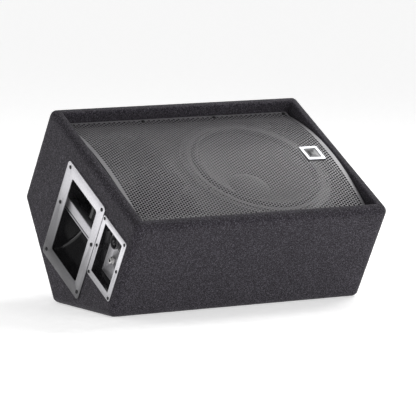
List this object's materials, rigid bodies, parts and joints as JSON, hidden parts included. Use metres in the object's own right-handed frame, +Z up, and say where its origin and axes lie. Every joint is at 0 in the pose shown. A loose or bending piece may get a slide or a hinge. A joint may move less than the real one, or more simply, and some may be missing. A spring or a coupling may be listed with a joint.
{
  "type": "stage monitor wedge",
  "caption": "Stage monitor wedge: a carpeted five-sided floor loudspeaker with an arched perforated steel grille, a woofer, a horn, a recessed handle and an input panel",
  "frame": {"origin": "on the floor, under the middle of the cabinet's box as it lies on its base board", "axes": "+X along the cabinet's length, from the end with the handle to the other end; +Y to the rear, away from the listener; +Z up. The baffle leans back 60 degrees from upright"},
  "size_m": [0.58, 0.4426, 0.3782],
  "materials": {
    "baffle_black": "black-painted plywood",
    "panel": "bare plywood",
    "carpet": "fuzzy speckled charcoal carpet",
    "grille_steel": "satin grey powder coat, perforated",
    "badge": "plain brushed frame round a dark field",
    "grille_pad": "matt",
    "screw_steel": "satin black",
    "plated_steel": "zinc plated",
    "basket_steel": "satin black",
    "gasket": "pressed fibre",
    "surround": "doped cloth",
    "cone_paper": "ribbed pulp",
    "dust_cap": "pressed",
    "coil_copper": "enamelled copper",
    "spider_cloth": "resin cloth",
    "ferrite": "bare ferrite",
    "terminal_board": "resin board",
    "horn_plastic": "moulded",
    "driver_metal": "satin",
    "driver_plastic": "moulded",
    "diaphragm": "thin dome",
    "port_plastic": "moulded",
    "handle_metal": "satin silver grey",
    "handle_cup": "gloss black",
    "input_metal": "satin silver grey plate and dish",
    "socket_plastic": "moulded",
    "jack_nut": "nickel plated",
    "pole_cup": "moulded",
    "spacer": "moulded",
    "capacitor": "film sleeve",
    "resistor": "cement body",
    "lead_sheath": "flexible sheath",
    "wadding": "soft wadding"
  },
  "bodies": {
    "cone": {"woofer_cone": "cone_paper", "dust_cap": "dust_cap", "voice_coil": "coil_copper"},
    "cabinet": {"baffle": "baffle_black", "baffle_battens": "panel", "base_panel": "panel", "carpet_base": "carpet", "carpet_end_left": "carpet", "carpet_end_right": "carpet", "carpet_front": "carpet", "carpet_lower_rear": "carpet", "carpet_rim": "carpet", "carpet_top_rear": "carpet", "crossover_board": "terminal_board", "crossover_capacitors": "capacitor", "crossover_coils": "coil_copper", "crossover_resistor": "resistor", "crossover_spacers": "spacer", "damping_pads": "wadding", "driver_body": "driver_metal", "driver_cover": "driver_plastic", "driver_diaphragm": "diaphragm", "driver_lead": "lead_sheath", "end_panel_left": "panel", "end_panel_right": "panel", "front_panel": "panel", "grille": "grille_steel", "grille_badge": "badge", "grille_blocks": "grille_pad", "grille_screws": "screw_steel", "handle_bar": "handle_metal", "handle_cup": "handle_cup", "handle_frame": "handle_metal", "handle_screws": "screw_steel", "horn": "horn_plastic", "horn_screws": "screw_steel", "horn_throat": "horn_plastic", "input_dish": "input_metal", "input_lead": "lead_sheath", "input_screws": "screw_steel", "jack_nut": "jack_nut", "jack_socket": "socket_plastic", "lower_rear_panel": "panel", "pole_cup": "pole_cup", "pole_cup_screws": "screw_steel", "port_tube_front": "port_plastic", "port_tube_rear": "port_plastic", "speaker_socket": "socket_plastic", "tee_nuts": "plated_steel", "top_rear_panel": "panel", "woofer_back_plate": "plated_steel", "woofer_basket": "basket_steel", "woofer_bolts": "screw_steel", "woofer_gasket": "gasket", "woofer_lead": "lead_sheath", "woofer_magnet": "ferrite", "woofer_spider": "spider_cloth", "woofer_surround": "surround", "woofer_terminals": "terminal_board", "woofer_top_plate": "plated_steel"}
  },
  "joints": [
    {"name": "cone_travel", "type": "slide", "parent": "cabinet", "child": "cone", "axis": [0, -0.5, 0.866], "range_m": [-0.006, 0.006], "stiffness_N_per_m": 4000, "deforming": ["woofer_surround", "woofer_spider"]}
  ]
}
